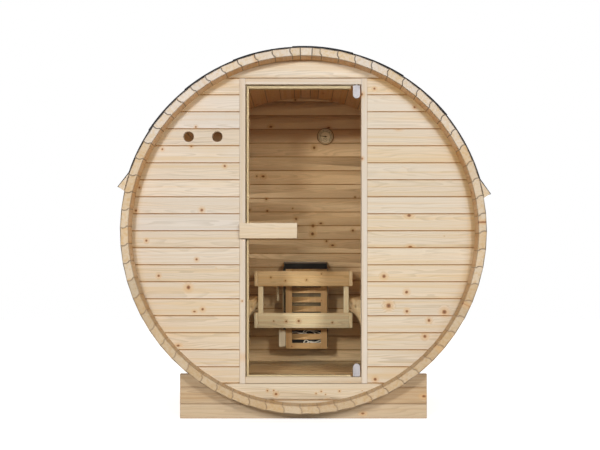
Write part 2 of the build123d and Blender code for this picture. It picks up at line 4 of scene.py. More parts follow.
import bmesh
import bpy
import numpy as np
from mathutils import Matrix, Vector

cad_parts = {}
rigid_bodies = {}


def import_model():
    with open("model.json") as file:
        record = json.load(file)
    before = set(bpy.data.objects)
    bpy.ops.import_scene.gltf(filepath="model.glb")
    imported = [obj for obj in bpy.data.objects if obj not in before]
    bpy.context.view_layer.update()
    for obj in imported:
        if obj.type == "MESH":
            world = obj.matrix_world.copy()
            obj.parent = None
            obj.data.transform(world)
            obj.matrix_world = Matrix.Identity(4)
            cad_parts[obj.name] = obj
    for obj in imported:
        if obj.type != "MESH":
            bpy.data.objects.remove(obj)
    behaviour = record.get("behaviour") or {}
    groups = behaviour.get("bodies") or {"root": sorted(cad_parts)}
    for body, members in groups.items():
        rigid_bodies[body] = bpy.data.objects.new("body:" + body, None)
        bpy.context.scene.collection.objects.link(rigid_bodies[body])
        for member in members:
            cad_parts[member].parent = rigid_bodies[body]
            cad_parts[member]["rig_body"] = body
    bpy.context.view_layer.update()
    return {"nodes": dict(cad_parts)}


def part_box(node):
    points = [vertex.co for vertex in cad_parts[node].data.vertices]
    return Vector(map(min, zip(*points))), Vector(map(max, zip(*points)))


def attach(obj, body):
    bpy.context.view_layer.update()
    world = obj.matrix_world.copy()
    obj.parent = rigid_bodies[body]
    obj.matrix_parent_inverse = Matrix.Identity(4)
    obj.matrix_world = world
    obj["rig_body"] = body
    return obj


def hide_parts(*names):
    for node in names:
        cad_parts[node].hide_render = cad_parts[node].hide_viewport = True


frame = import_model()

scene = bpy.context.scene
scene.view_settings.view_transform = "Standard"

# Camera
# A level camera, square to the door and a little below the barrel's middle. It stands about
# 5.5 m in front of the staves, where the lens takes in the whole barrel with white round it.
CAMERA_Y = -6.31
CAMERA_Z = 0.829
camera_data = bpy.data.cameras.new("camera")
camera_data.lens = 63.8
camera_data.sensor_width = 36.0
camera_data.shift_x = -0.0057
camera_data.shift_y = 0.063
camera = bpy.data.objects.new("camera", camera_data)
camera.location = (0.0, CAMERA_Y, CAMERA_Z)
camera.rotation_euler = (math.radians(90.0), 0.0, 0.0)
scene.collection.objects.link(camera)
scene.camera = camera


# Studio
# A white backdrop that lights the back and sides, white paper on the ground, and a dim, warm
# front that is dark behind the camera, which keeps that off the door. Three softboxes stand
# high in front and one by the camera, and two small lamps light the cabin down and up.
world = bpy.data.worlds.new("white_paper")
scene.world = world
world.use_nodes = True
sky_tree = world.node_tree
seen_ray = sky_tree.nodes.new("ShaderNodeLightPath")
sky_light = sky_tree.nodes["Background"]
sky_way = sky_tree.nodes.new("ShaderNodeTexCoord")
toward_camera = sky_tree.nodes.new("ShaderNodeVectorMath")
toward_camera.operation = "DOT_PRODUCT"
toward_camera.inputs[1].default_value = (0.0, -1.0, 0.0)
sky_tree.links.new(sky_way.outputs["Generated"], toward_camera.inputs[0])


def sky_share(low, high, start, end):
    """A smooth change from start to end while the view turns from low to high towards the camera."""
    share = sky_tree.nodes.new("ShaderNodeMapRange")
    share.interpolation_type = "SMOOTHSTEP"
    sky_tree.links.new(toward_camera.outputs["Value"], share.inputs[0])
    for socket, value in zip(share.inputs[1:5], (low, high, start, end)):
        socket.default_value = value
    return share.outputs[0]


def sky_sum(operation, first, second):
    """The result of one sum in the world's nodes."""
    node = sky_tree.nodes.new("ShaderNodeMath")
    node.operation = operation
    sky_tree.links.new(first, node.inputs[0])
    sky_tree.links.new(second, node.inputs[1])
    return node.outputs[0]


lit_side = sky_share(0.86, 0.97, 1.0, 0.06)
sky_tone = sky_tree.nodes.new("ShaderNodeMix")
sky_tone.data_type = "RGBA"
sky_tone.inputs[6].default_value = (1.0, 0.96, 0.91, 1.0)
sky_tone.inputs[7].default_value = (1.0, 0.68, 0.32, 1.0)
sky_tree.links.new(sky_share(-0.3, 0.3, 0.0, 1.0), sky_tone.inputs[0])
sky_tree.links.new(sky_tone.outputs[2], sky_light.inputs["Color"])
back_to_front = sky_share(-0.4, 0.3, 1.05, 0.16)
sky_tree.links.new(sky_sum("MULTIPLY", lit_side, back_to_front), sky_light.inputs["Strength"])
paper_light = sky_tree.nodes.new("ShaderNodeBackground")
paper_light.inputs["Color"].default_value = (1.0, 1.0, 1.0, 1.0)
bent_ray = sky_sum("MAXIMUM", seen_ray.outputs["Is Transmission Ray"], seen_ray.outputs["Is Glossy Ray"])
seen_white = sky_sum("MAXIMUM", seen_ray.outputs["Is Camera Ray"], sky_sum("MULTIPLY", bent_ray, lit_side))
sky_choice = sky_tree.nodes.new("ShaderNodeMixShader")
sky_tree.links.new(seen_white, sky_choice.inputs[0])
sky_tree.links.new(sky_light.outputs[0], sky_choice.inputs[1])
sky_tree.links.new(paper_light.outputs[0], sky_choice.inputs[2])
sky_tree.links.new(sky_choice.outputs[0], sky_tree.nodes["World Output"].inputs["Surface"])


def softbox(name, place, side, watts, mirrored=True):
    """A square lamp that faces the middle of the door."""
    lamp = bpy.data.lights.new(name, "AREA")
    lamp.size = side
    lamp.energy = watts
    lamp.color = (0.94, 1.01, 1.09)
    holder = bpy.data.objects.new(name, lamp)
    holder.location = place
    holder.rotation_euler = (Vector((0.0, -0.7, 1.0)) - Vector(place)).to_track_quat("-Z", "Y").to_euler()
    holder.visible_camera = False
    holder.visible_transmission = False
    holder.visible_glossy = mirrored
    scene.collection.objects.link(holder)


softbox("softbox_right", (2.15, -8.7, 2.6), 0.7, 262.0)
softbox("softbox_far_right", (4.3, -8.7, 2.4), 1.2, 80.0)
softbox("softbox_left", (-2.15, -8.7, 2.6), 0.7, 338.0)
softbox("softbox_camera", (0.0, -6.2, 0.9), 0.6, 16.0, mirrored=False)

CABIN_LAMPS = (("cabin_lamp_down", (0.0, -0.42, 1.74), 0.0, 1.3),
               ("cabin_lamp_up", (0.0, 0.0, 1.2), 180.0, 0.45))
for name, place, tilt, watts in CABIN_LAMPS:
    cabin_lamp = bpy.data.lights.new(name, "AREA")
    cabin_lamp.size = 0.5
    cabin_lamp.energy = watts
    cabin_lamp.color = (1.0, 0.86, 0.68)
    cabin_holder = bpy.data.objects.new(name, cabin_lamp)
    cabin_holder.location = place
    cabin_holder.rotation_euler = (math.radians(tilt), 0.0, 0.0)
    cabin_holder.visible_camera = False
    cabin_holder.visible_glossy = False
    cabin_holder.visible_transmission = False
    scene.collection.objects.link(cabin_holder)

PAPER_FRONT_Y = -1.75
PAPER_REACH = 9.0
paper_corners = [(-PAPER_REACH, PAPER_FRONT_Y, 0), (PAPER_REACH, PAPER_FRONT_Y, 0),
                 (PAPER_REACH, PAPER_REACH, 0), (-PAPER_REACH, PAPER_REACH, 0)]
floor_mesh = bpy.data.meshes.new("paper_floor")
floor_mesh.from_pydata(paper_corners, [], [(0, 1, 2, 3)])
paper_floor = bpy.data.objects.new("paper_floor", floor_mesh)
scene.collection.objects.link(paper_floor)
paper = bpy.data.materials.new("paper")
paper.use_nodes = True
paper_shader = paper.node_tree.nodes["Principled BSDF"]
paper_shader.inputs["Base Color"].default_value = (0.9, 0.9, 0.9, 1.0)
paper_shader.inputs["Roughness"].default_value = 0.9
paper_shader.inputs["Emission Color"].default_value = (1.0, 1.0, 1.0, 1.0)
paper_glow = paper.node_tree.nodes.new("ShaderNodeLightPath")
paper_level = paper.node_tree.nodes.new("ShaderNodeMath")
paper_level.operation = "MULTIPLY"
paper_level.inputs[1].default_value = 0.62
paper.node_tree.links.new(paper_glow.outputs["Is Camera Ray"], paper_level.inputs[0])
paper.node_tree.links.new(paper_level.outputs[0], paper_shader.inputs["Emission Strength"])
floor_mesh.materials.append(paper)


# Staves
# Sixty-five planed spruce staves stand side by side round the walls, joined by a bead that
# sits in its neighbour's cove. Each is sawn from its own log, so each keeps its own grain.
# Painted shade makes the inner faces darker and more amber under the crown, and less and less downwards.
BARREL_Z = float(sum(np.array(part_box("band_front"))[:, 2])) / 2
INNER_RADIUS = 0.908
SEAM_WIDTH = 0.004
# Painted shade: the amber that the inner faces take under the crown.
CROWN_SHADE_AMBER = (0.88, 0.66, 0.42, 1.0)
# Painted shadow of the staves' rim on the end walls: its tone and its width.
RIM_SHADE_TONE = (0.82, 0.66, 0.40, 1.0)
RIM_SHADE_WIDTH = 0.048
KNOT_SCALE = 5.2
KNOT_SQUEEZE = 1.6
RINGS_PER_METRE = 260.0
WELD_REACH = 0.00002


def tone(red, green, blue):
    """A colour given as it looks on screen, from 0 to 255, as a shader wants it."""
    shown = np.array([red, green, blue]) / 255.0
    return (*(np.where(shown > 0.04045, ((shown + 0.055) / 1.055) ** 2.4, shown / 12.92)), 1.0)


def new_finish(name):
    """A material with its node tree and its one Principled shader."""
    finish = bpy.data.materials.new(name)
    finish.use_nodes = True
    return finish, finish.node_tree, finish.node_tree.nodes["Principled BSDF"]


def put(tree, kind, feeds, **settings):
    """A node of that kind. Each feed names an input and gives it a value or another's output."""
    node = tree.nodes.new("ShaderNode" + kind)
    for key, value in settings.items():
        setattr(node, key, value)
    for key, value in feeds.items():
        if isinstance(value, bpy.types.NodeSocket):
            tree.links.new(value, node.inputs[key])
        else:
            node.inputs[key].default_value = value
    return node


def worked(tree, operation, first, second=0.0, third=0.0, clamp=False):
    """The result of one sum."""
    feeds = {0: first, 1: second, 2: third}
    return put(tree, "Math", feeds, operation=operation, use_clamp=clamp).outputs[0]


def laid_on(tree, share, under, over, way="MIX"):
    """One colour laid on another by a share from 0 to 1."""
    feeds = {0: share, 6: under, 7: over}
    return put(tree, "Mix", feeds, data_type="RGBA", blend_type=way).outputs[2]


def rising(tree, value, low, high, start=0.0, end=1.0):
    """A smooth rise from start to end while the value goes from low to high."""
    feeds = {0: value, 1: low, 2: high, 3: start, 4: end}
    return put(tree, "MapRange", feeds, interpolation_type="SMOOTHSTEP").outputs[0]


def stretched(tree, place, along, across, into):
    """Coordinates drawn out differently along, across and into a board."""
    feeds = {0: place, 1: (along, across, into)}
    return put(tree, "VectorMath", feeds, operation="MULTIPLY").outputs[0]


def clouds(tree, place, scale, detail=2.0, rough=0.5):
    """Soft noise from 0 to 1."""
    feeds = {"Vector": place, "Scale": scale, "Detail": detail, "Roughness": rough}
    return put(tree, "TexNoise", feeds).outputs[0]


def spruce(name, pale, warm, knots=(), knot_share=0.45, contrast=1.0, joint=tone(172, 116, 48),
           rim_shade=0.0):
    """Planed spruce. Year rings are even steps of the distance from the log's heart, bent by
    slow noise, so they run as lines on a face and as arcs on an end. Pin knots are the nearest
    points of a scatter, and the given knots are (x, y, z, radius) ovals that cut through.
    A rim shade is painted shadow: a share of amber tone close under the staves, stronger towards the crown.
    An inward face takes painted amber shade by its stave's share of shade under the crown."""
    finish, tree, shader = new_finish(name)
    grain = put(tree, "Attribute", {}, attribute_name="grain").outputs["Vector"]
    board = put(tree, "Attribute", {}, attribute_name="board").outputs["Fac"]
    end_face = put(tree, "Attribute", {}, attribute_name="end_face").outputs["Fac"]
    seam = put(tree, "Attribute", {}, attribute_name="seam").outputs["Fac"]
    inward = put(tree, "Attribute", {}, attribute_name="inward").outputs["Fac"]
    crown_shade = put(tree, "Attribute", {}, attribute_name="crown_shade").outputs["Fac"]
    place = put(tree, "TexCoord", {}).outputs["Object"]

    squeezed = stretched(tree, grain, 1.0, KNOT_SQUEEZE, 0.02)
    scatter = put(tree, "TexVoronoi", {"Vector": squeezed, "Scale": KNOT_SCALE})
    spread = put(tree, "VectorMath", {
        0: stretched(tree, grain, KNOT_SCALE, KNOT_SCALE * KNOT_SQUEEZE, 0.0),
        1: stretched(tree, scatter.outputs["Position"], KNOT_SCALE, KNOT_SCALE, 0.0),
    }, operation="SUBTRACT").outputs[0]
    chance = put(tree, "SeparateColor", {0: scatter.outputs["Color"]})
    size = rising(tree, chance.outputs[0], 1.0 - knot_share, 1.0, 0.0, 0.062)
    from_scatter = put(tree, "VectorMath", {0: spread}, operation="LENGTH").outputs["Value"]
    nearness = worked(tree, "DIVIDE", from_scatter, worked(tree, "MAXIMUM", size, 0.0005))
    for x, y, z, radius in knots:
        centre = put(tree, "VectorMath", {0: place, 1: (x, y, z)}, operation="SUBTRACT").outputs[0]
        oval = stretched(tree, centre, 1.0 / radius, 0.3 / radius, 1.0 / radius)
        reach = put(tree, "VectorMath", {0: oval}, operation="LENGTH").outputs["Value"]
        nearness = worked(tree, "MINIMUM", nearness, reach)
    knot_edge = worked(tree, "ADD", nearness, worked(tree, "MULTIPLY", clouds(tree, place, 90.0), 0.5))
    knot = rising(tree, knot_edge, 1.0, 1.5, 1.0, 0.0)
    knot_core = rising(tree, knot_edge, 0.5, 1.1, 1.0, 0.0)
    halo = rising(tree, nearness, 1.0, 3.6, 1.0, 0.0)

    slow = clouds(tree, stretched(tree, grain, 1.3, 9.0, 9.0), 1.0, 3.0, 0.45)
    heart = put(tree, "VectorMath", {0: stretched(tree, grain, 0.0, 1.0, 1.0)}, operation="LENGTH")
    ringed = worked(tree, "MULTIPLY_ADD", slow, 0.05, heart.outputs["Value"])
    ringed = worked(tree, "MULTIPLY_ADD", halo, 0.006, ringed)
    spacing = clouds(tree, stretched(tree, grain, 0.02, 30.0, 30.0), 1.0, 1.0)
    ringed = worked(tree, "MULTIPLY_ADD", spacing, 0.02, ringed)
    year = worked(tree, "FRACT", worked(tree, "MULTIPLY", ringed, RINGS_PER_METRE))
    late = worked(tree, "MULTIPLY", rising(tree, year, 0.35, 0.9), rising(tree, year, 0.93, 1.0, 1.0, 0.0))
    fibre = clouds(tree, stretched(tree, grain, 9.0, 700.0, 700.0), 1.0, 2.0, 0.6)
    streak = clouds(tree, stretched(tree, grain, 0.8, 64.0, 64.0), 1.0, 3.0, 0.6)
    patch = clouds(tree, stretched(tree, grain, 2.2, 12.0, 12.0), 1.0, 2.0, 0.5)

    lot = put(tree, "TexWhiteNoise", {"W": board}, noise_dimensions="1D")
    lots = put(tree, "SeparateColor", {0: lot.outputs["Color"]})
    board_warmth = worked(tree, "MULTIPLY_ADD", lots.outputs[0], 0.75 * contrast, -0.1)
    warmth = worked(tree, "MULTIPLY_ADD", rising(tree, streak, 0.42, 0.68), 0.58 * contrast, board_warmth)
    warmth = worked(tree, "MULTIPLY_ADD", rising(tree, patch, 0.5, 0.8), 0.3 * contrast, warmth, clamp=True)
    colour = laid_on(tree, warmth, pale, warm)
    late_share = worked(tree, "MULTIPLY", late, worked(tree, "MULTIPLY_ADD", lots.outputs[1], 0.24, 0.2))
    late_wood = tuple(0.62 * c for c in warm[:3]) + (1.0,)
    colour = laid_on(tree, late_share, colour, late_wood)
    shade = worked(tree, "MULTIPLY_ADD", fibre, 0.12, 0.94)
    shade = worked(tree, "MULTIPLY", shade, worked(tree, "MULTIPLY_ADD", lots.outputs[2], 0.1, 0.93))
    shade = worked(tree, "MULTIPLY", shade, worked(tree, "MULTIPLY_ADD", end_face, -0.1, 1.0))
    grey = put(tree, "CombineColor", {0: shade, 1: shade, 2: shade}).outputs[0]
    colour = laid_on(tree, 1.0, colour, grey, "MULTIPLY")
    colour = laid_on(tree, worked(tree, "MULTIPLY", halo, 0.5), colour, tone(206, 160, 104))
    colour = laid_on(tree, worked(tree, "MULTIPLY", knot, 0.85), colour, tone(158, 104, 56))
    colour = laid_on(tree, worked(tree, "MULTIPLY", knot_core, 0.7), colour, tone(84, 46, 22))
    # Painted shade: inward faces turn darker and more amber towards the crown.
    colour = laid_on(tree, worked(tree, "MULTIPLY", inward, crown_shade), colour, CROWN_SHADE_AMBER, "MULTIPLY")
    # Painted shadow: the wall darkens to amber close under the staves, more so upwards.
    if rim_shade > 0.0:
        from_axis = put(tree, "VectorMath", {0: place, 1: (0.0, 0.0, BARREL_Z)}, operation="SUBTRACT")
        flattened = stretched(tree, from_axis.outputs[0], 1.0, 0.0, 1.0)
        spoke = put(tree, "VectorMath", {0: flattened}, operation="LENGTH").outputs["Value"]
        rim_shadow = rising(tree, spoke, INNER_RADIUS - RIM_SHADE_WIDTH, INNER_RADIUS - 0.004, 0.0, rim_shade)
        height = put(tree, "SeparateXYZ", {0: place}).outputs[2]
        rim_shadow = worked(tree, "MULTIPLY", rim_shadow, rising(tree, height, 0.3, 1.3))
        colour = laid_on(tree, rim_shadow, colour, RIM_SHADE_TONE, "MULTIPLY")
    # Seams take the joint tone, which is dirt and painted shade in the joints.
    colour = laid_on(tree, seam, colour, joint)
    tree.links.new(colour, shader.inputs["Base Color"])

    gloss = worked(tree, "MULTIPLY_ADD", fibre, 0.16, 0.46)
    tree.links.new(worked(tree, "MULTIPLY_ADD", late, -0.06, gloss), shader.inputs["Roughness"])
    relief = worked(tree, "MULTIPLY_ADD", fibre, 0.5, worked(tree, "MULTIPLY", late, 0.35))
    relief = worked(tree, "MULTIPLY_ADD", knot, 0.8, relief)
    bump = put(tree, "Bump", {"Strength": 0.25, "Distance": 0.0006, "Height": relief})
    tree.links.new(bump.outputs[0], shader.inputs["Normal"])
    shader.inputs["Specular IOR Level"].default_value = 0.3
    return finish


def sawn(node, finish, seed, barrel=False, outline=0.0, dirt_and_shade=0.0):
    """The node's own boards again, welded, with the run of each one's grain on its points.
    A board is what hangs together. Its grain runs along its longest side, from a heart that
    lies at a random place beyond its face; in a stave the sides are turned round the barrel.
    Dirt and painted shade darken the arrises that meet a neighbour: within an outline on the faces to the
    front and back and on a stave's inner and outer faces, and otherwise on a board's chamfers.
    A stave's inner face takes painted shade by half of one plus the cosine of its turn from the crown."""
    mesh = frame["nodes"][node].data.copy()
    welded = bmesh.new()
    welded.from_mesh(mesh)
    bmesh.ops.remove_doubles(welded, verts=welded.verts, dist=WELD_REACH)
    if outline > 0.0:
        ends = [face for face in welded.faces if abs(face.normal.y) > 0.9]
        bmesh.ops.inset_region(welded, faces=ends, thickness=outline,
                               use_boundary=True, use_even_offset=True)
    if barrel:
        skin = []
        for face in welded.faces:
            middle = face.calc_center_median()
            radius = Vector((middle.x, 0.0, middle.z - BARREL_Z))
            if abs(face.normal.dot(radius)) > 0.7 * radius.length:
                skin.append(face)
        bmesh.ops.inset_region(welded, faces=skin, thickness=0.6 * outline,
                               use_boundary=True, use_even_offset=True)
    welded.to_mesh(mesh)
    welded.free()
    points = np.zeros(len(mesh.vertices) * 3)
    mesh.vertices.foreach_get("co", points)
    points = points.reshape(-1, 3)
    edges = np.zeros(len(mesh.edges) * 2, int)
    mesh.edges.foreach_get("vertices", edges)
    edges = edges.reshape(-1, 2)
    group = np.arange(len(points))
    settled = False
    while not settled:
        lowest = group.copy()
        least = np.minimum(group[edges[:, 0]], group[edges[:, 1]])
        np.minimum.at(lowest, edges[:, 0], least)
        np.minimum.at(lowest, edges[:, 1], least)
        lowest = lowest[lowest]
        settled = bool((lowest == group).all())
        group = lowest
    firsts, owner = np.unique(group, return_inverse=True)
    count = len(firsts)

    def extremes(values):
        """The lowest and highest value of each board, along all three axes."""
        low = np.full((count, 3), np.inf)
        high = np.full((count, 3), -np.inf)
        np.minimum.at(low, owner, values)
        np.maximum.at(high, owner, values)
        return low, high

    placed = points.copy()
    turn = np.zeros(count)
    if barrel:
        placed[:, 2] -= BARREL_Z
        low, high = extremes(placed)
        middle = (low + high) / 2
        turn = np.arctan2(middle[:, 0], middle[:, 2])
        sine, cosine = np.sin(turn)[owner], np.cos(turn)[owner]
        across = placed[:, 0] * cosine - placed[:, 2] * sine
        out = placed[:, 0] * sine + placed[:, 2] * cosine
        placed = np.stack([across, placed[:, 1], out], axis=1)
    low, high = extremes(placed)
    order = np.argsort(low - high, axis=1)
    inside = placed - ((low + high) / 2)[owner]
    grain = np.take_along_axis(inside, order[owner], axis=1)
    half_width = np.take_along_axis((high - low) / 2, order, axis=1)[owner, 1]
    beside = np.abs(grain[:, 1]) > 0.7 * half_width
    chance = np.random.default_rng(seed)
    heart = np.zeros((count, 3))
    heart[:, 0] = chance.uniform(0.0, 40.0, count)
    heart[:, 1] = chance.uniform(-0.05, 0.05, count)
    heart[:, 2] = chance.choice([-1.0, 1.0], count) * chance.uniform(0.035, 0.12, count)
    grain += heart[owner]
    lot = chance.uniform(0.0, 50.0, count)[owner]

    faces = np.zeros(len(mesh.polygons) * 3)
    mesh.polygons.foreach_get("normal", faces)
    faces = faces.reshape(-1, 3)
    first_point = np.zeros(len(mesh.polygons), int)
    mesh.polygons.foreach_get("loop_start", first_point)
    corner = np.zeros(len(mesh.loops), int)
    mesh.loops.foreach_get("vertex_index", corner)
    face_board = owner[corner[first_point]]
    tilt = np.abs(np.take_along_axis(faces, order[face_board], axis=1))
    end = tilt[:, 0] > 0.7
    face_of = np.repeat(np.arange(len(faces)), np.diff(np.append(first_point, len(corner))))
    out_of = np.stack([np.sin(turn), np.zeros(count), np.cos(turn)], axis=1)[face_board]
    inward = barrel * ((faces * out_of).sum(axis=1) < -0.7).astype(float)
    # The share of painted shade on a stave's inner face, most at the crown.
    crown_shade = (0.5 + 0.5 * np.cos(turn))[face_board]
    # Seam darkness at the arrises is dirt and painted shade.
    if outline > 0.0:
        facing = np.abs(faces[:, 1]) > 0.9
        arris = np.zeros(len(points), bool)
        arris[corner[~facing[face_of]]] = True
        seam = facing[face_of] * arris[corner] * np.where(beside[corner], dirt_and_shade, 0.3 * dirt_and_shade)
    else:
        seam = dirt_and_shade * ((tilt[:, 1] > 0.4) & (tilt[:, 2] > 0.4))[face_of]
    if barrel:
        skin = np.abs((faces * out_of).sum(axis=1)) > 0.7
        side_point = np.zeros(len(points), bool)
        side_point[corner[~skin[face_of]]] = True
        face_size = np.diff(np.append(first_point, len(corner)))
        sideways = np.abs(np.add.reduceat(placed[corner, 0], first_point) / face_size)
        flank = sideways > 0.5 * half_width[corner[first_point]]
        margin = skin * flank * np.where(inward > 0.5, 1.0, 0.6)
        seam = seam + margin[face_of] * side_point[corner] * dirt_and_shade
    mesh.attributes.new("grain", "FLOAT_VECTOR", "POINT").data.foreach_set("vector", grain.ravel())
    mesh.attributes.new("board", "FLOAT", "POINT").data.foreach_set("value", lot)
    mesh.attributes.new("end_face", "FLOAT", "FACE").data.foreach_set("value", end.astype(float))
    mesh.attributes.new("inward", "FLOAT", "FACE").data.foreach_set("value", inward)
    mesh.attributes.new("crown_shade", "FLOAT", "FACE").data.foreach_set("value", crown_shade)
    mesh.attributes.new("seam", "FLOAT", "CORNER").data.foreach_set("value", seam.astype(float))
    mesh.polygons.foreach_set("use_smooth", np.ones(len(mesh.polygons), bool))
    mesh.set_sharp_from_angle(angle=math.radians(30.0))
    mesh.materials.clear()
    mesh.materials.append(finish)
    piece = bpy.data.objects.new("sawn_" + node, mesh)
    scene.collection.objects.link(piece)
    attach(piece, frame["nodes"][node]["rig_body"])
    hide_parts(node)


# Three copies of the stave spruce: palest at the crown, deeper at the sides and deepest at the bottom, which
# is painted shade; the joints are darkest at the crown.
stave_wood = spruce("stave_wood", tone(231, 215, 198), tone(221, 189, 144), knot_share=0.3,
                    joint=tone(58, 38, 22))
shaded_side_stave_wood = spruce("shaded_side_stave_wood", tone(224, 202, 172), tone(214, 176, 125), knot_share=0.35,
                         joint=tone(70, 44, 24))
shaded_low_stave_wood = spruce("shaded_low_stave_wood", tone(207, 184, 152), tone(196, 160, 112), knot_share=0.4,
                        joint=tone(96, 58, 28))
STAVE_LOTS = (("staves_top", stave_wood, 1.0), ("staves_upper_right", stave_wood, 1.0),
              ("staves_right", shaded_side_stave_wood, 0.8), ("staves_lower_right", shaded_low_stave_wood, 0.6),
              ("staves_bottom", shaded_low_stave_wood, 0.6), ("staves_lower_left", shaded_low_stave_wood, 0.6),
              ("staves_left", shaded_side_stave_wood, 0.8), ("staves_upper_left", stave_wood, 1.0))
for seed, (node, lot_wood, dirt_and_shade) in enumerate(STAVE_LOTS):
    sawn(node, lot_wood, 11 + seed, barrel=True, outline=SEAM_WIDTH, dirt_and_shade=dirt_and_shade)


# End walls
# Tongued spruce boards laid on one another in the staves' croze grooves, front and back, with
# two round air holes bored through one board beside the door.
WALL_FACE_Y = float(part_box("front_wall_left")[0][1])
BACK_FACE_Y = float(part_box("back_wall")[0][1])
FOCAL_PIXELS = 1063.3
CENTRE_COLUMN = 303.4
CENTRE_ROW = 262.8


def seen_at(column, row, y, size):
    """A knot on an upright face at y, by where the camera sees it, with its radius in pixels."""
    pixel = (y - CAMERA_Y) / FOCAL_PIXELS
    return (column - CENTRE_COLUMN) * pixel, y, CAMERA_Z + (CENTRE_ROW - row) * pixel, size * pixel


LEFT_KNOTS = [seen_at(column, row, WALL_FACE_Y, size) for column, row, size in (
    (201.8, 210.0, 1.5), (136.0, 210.6, 1.2), (146.3, 240.6, 1.2), (196.6, 259.4, 1.2), (158.6, 275.8, 1.3),
    (188.4, 287.4, 2.1), (202.6, 309.3, 1.4), (195.8, 127.0, 0.9), (191.3, 146.3, 1.1), (162.3, 149.2, 1.0),
    (224.7, 166.0, 1.2), (139.4, 187.6, 1.0))]
RIGHT_KNOTS = [seen_at(column, row, WALL_FACE_Y, size) for column, row, size in (
    (383.9, 276.3, 1.8), (406.6, 292.1, 1.6), (388.6, 305.6, 2.4), (406.9, 311.3, 1.5), (444.3, 311.9, 2.3),
    (428.9, 320.4, 1.5), (424.8, 336.3, 1.7), (375.1, 379.3, 1.6), (374.4, 88.6, 1.1), (414.4, 107.3, 1.1))]
GUARD_FACE_Y = float(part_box("guard_rails_lower")[0][1])
SCREEN_FACE_Y = float(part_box("heater_screen")[0][1])
FITTING_KNOTS = [seen_at(column, row, GUARD_FACE_Y, size) for column, row, size in (
    (273.7, 321.0, 0.6), (286.2, 321.4, 0.9), (298.7, 321.0, 1.2), (332.3, 322.6, 0.7), (285.4, 280.7, 0.8),
    (306.5, 279.9, 0.9), (270.8, 277.4, 0.8), (321.5, 274.0, 0.6))]
FITTING_KNOTS += [seen_at(column, row, SCREEN_FACE_Y, size) for column, row, size in (
    (321.5, 300.3, 0.6), (291.8, 346.4, 0.8))]
BACK_KNOTS = [seen_at(column, row, BACK_FACE_Y, size) for column, row, size in (
    (314.2, 147.8, 1.5), (256.8, 176.2, 0.9), (313.0, 226.0, 1.6), (312.5, 234.0, 1.6), (352.8, 230.5, 1.2),
    (326.5, 241.3, 1.0), (296.0, 219.0, 1.1), (295.2, 100.0, 1.0), (278.5, 94.0, 0.9), (328.8, 95.0, 0.9),
    (266.3, 199.2, 1.0), (267.3, 211.0, 1.0), (355.0, 197.2, 0.8), (249.6, 210.0, 0.9), (292.6, 208.5, 0.6))]
# The left, right and top boards take the painted rim shadow under the staves.
left_wood = spruce("left_wall_wood", tone(218, 204, 187), tone(213, 187, 151), LEFT_KNOTS, 0.12,
                   rim_shade=0.8)
right_wood = spruce("right_wall_wood", tone(218, 203, 182), tone(213, 186, 147), RIGHT_KNOTS, 0.12,
                    rim_shade=1.0)
LOW_KNOTS = [seen_at(column, row, WALL_FACE_Y, size) for column, row, size in (
    (276.0, 394.0, 1.3), (267.4, 390.6, 0.8), (273.7, 390.5, 0.6), (253.7, 396.4, 0.6), (316.0, 393.5, 0.7),
    (321.2, 391.5, 0.7), (325.5, 394.5, 0.5), (339.4, 391.1, 0.8))]
top_wood = spruce("top_wall_wood", tone(228, 217, 202), tone(222, 199, 166), knot_share=0.3,
                  rim_shade=0.3)
low_wood = spruce("low_wall_wood", tone(213, 195, 168), tone(207, 178, 136), LOW_KNOTS, 0.12)
inner_wood = spruce("back_wall_wood", tone(240, 212, 173), tone(234, 197, 148), BACK_KNOTS, 0.2, 0.6)
sawn("front_wall_left", left_wood, 31, dirt_and_shade=1.0)
sawn("vent_board", left_wood, 32, dirt_and_shade=1.0)
sawn("front_wall_right", right_wood, 33, dirt_and_shade=1.0)
sawn("front_wall_top", top_wood, 34, dirt_and_shade=1.0)
sawn("front_wall_bottom", low_wood, 35, dirt_and_shade=1.0)
sawn("back_wall", inner_wood, 36, dirt_and_shade=1.0)


# Door frame
# Two jambs, a head and a sill of planed spruce, screwed into the opening, with thin stops
# that the glass closes against.
FRAME_KNOTS = [seen_at(column, row, WALL_FACE_Y, size) for column, row, size in (
    (361.6, 94.5, 1.5), (362.1, 158.7, 1.1), (242.2, 301.0, 0.8))]
frame_wood = spruce("frame_wood", tone(221, 208, 193), tone(214, 191, 160), FRAME_KNOTS, 0.05)
sill_wood = spruce("sill_wood", tone(213, 193, 165), tone(207, 179, 142), knot_share=0.05)
stop_wood = spruce("stop_wood", tone(200, 188, 160), tone(190, 168, 132), knot_share=0.0)
FRAME_PIECES = (("door_jamb_left", frame_wood), ("door_jamb_right", frame_wood), ("door_head", frame_wood),
                ("door_sill", sill_wood), ("door_stops", stop_wood))
for seed, (node, finish) in enumerate(FRAME_PIECES):
    sawn(node, finish, 41 + seed)


# Door glass
# One sheet of toughened glass, 8 mm, tinted bronze, with polished edges. The lamps shine
# through it with the tint of its two faces, so it throws no black shadow into the cabin.
glass, glass_tree, glass_shader = new_finish("bronze_glass")
GLASS_TINT = (1.0, 0.95, 0.85, 1.0)
glass_shader.inputs["Base Color"].default_value = GLASS_TINT
glass_shader.inputs["Roughness"].default_value = 0.0
glass_shader.inputs["IOR"].default_value = 1.45
glass_shader.inputs["Transmission Weight"].default_value = 1.0
face_tint = (*(c ** 0.5 for c in GLASS_TINT[:3]), 1.0)
lamp_way = put(glass_tree, "BsdfTransparent", {"Color": face_tint})
glass_path = put(glass_tree, "LightPath", {})
glass_choice = put(glass_tree, "MixShader", {
    0: glass_path.outputs["Is Shadow Ray"], 1: glass_shader.outputs[0], 2: lamp_way.outputs[0],
})
glass_lit = put(glass_tree, "MixShader", {
    0: glass_path.outputs["Is Diffuse Ray"], 1: glass_choice.outputs[0], 2: lamp_way.outputs[0],
})
